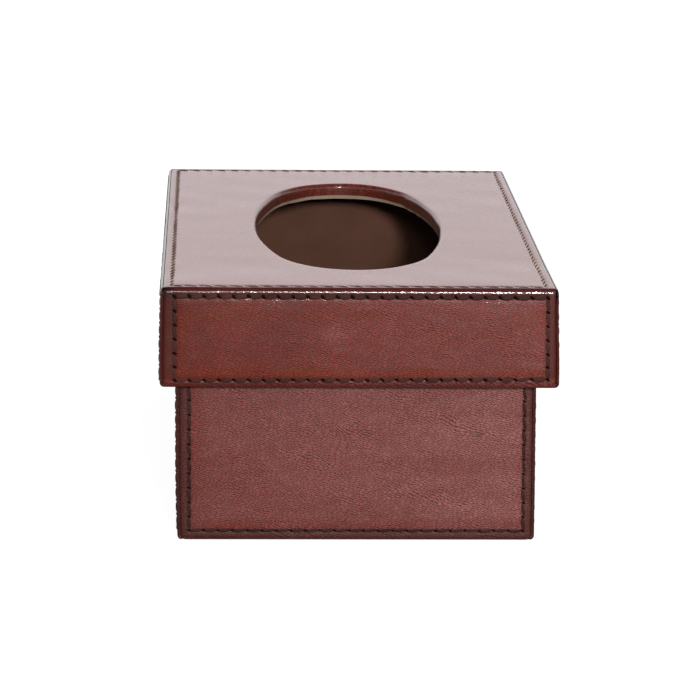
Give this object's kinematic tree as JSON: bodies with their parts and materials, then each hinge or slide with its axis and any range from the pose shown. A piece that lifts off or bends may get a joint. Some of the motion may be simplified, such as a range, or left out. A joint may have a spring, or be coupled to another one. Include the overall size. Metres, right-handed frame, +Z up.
{
  "type": "tissue box",
  "caption": "Leather-covered tissue box: an open, suede-lined base for a flat pack of tissues, under a lift-off lid with an oval opening in its top and stitched edges.",
  "frame": {"origin": "on the table under the centre of the base", "axes": "+Z up, the way the lid lifts off; +Y along the long side, with the front, a short side, at -Y"},
  "size_m": [0.144, 0.25, 0.096],
  "materials": {
    "cover_leather": "glazed aniline, reddish brown, fine grain",
    "carcass_board": "fibreboard, uncoated",
    "suede_lining": "matt suede, pale at its cut edge",
    "underside_sheet": "matt suede"
  },
  "bodies": {
    "base": {"base_front_board": "carcass_board", "base_front_leather": "cover_leather", "base_front_lining": "suede_lining", "base_back_board": "carcass_board", "base_back_leather": "cover_leather", "base_back_lining": "suede_lining", "base_left_board": "carcass_board", "base_left_leather": "cover_leather", "base_left_lining": "suede_lining", "base_right_board": "carcass_board", "base_right_leather": "cover_leather", "base_right_lining": "suede_lining", "base_bottom_board": "carcass_board", "base_floor_lining": "suede_lining", "base_bottom_sheet": "underside_sheet"},
    "lid": {"lid_front_board": "carcass_board", "lid_front_leather": "cover_leather", "lid_front_lining": "suede_lining", "lid_back_board": "carcass_board", "lid_back_leather": "cover_leather", "lid_back_lining": "suede_lining", "lid_left_board": "carcass_board", "lid_left_leather": "cover_leather", "lid_left_lining": "suede_lining", "lid_right_board": "carcass_board", "lid_right_leather": "cover_leather", "lid_right_lining": "suede_lining", "lid_top_board": "carcass_board", "lid_top_leather": "cover_leather", "lid_top_lining": "suede_lining"}
  },
  "joints": [
    {"name": "lid_lift", "type": "slide", "parent": "base", "child": "lid", "axis": [0, 0, 1], "range_m": [0, 0.08]}
  ]
}
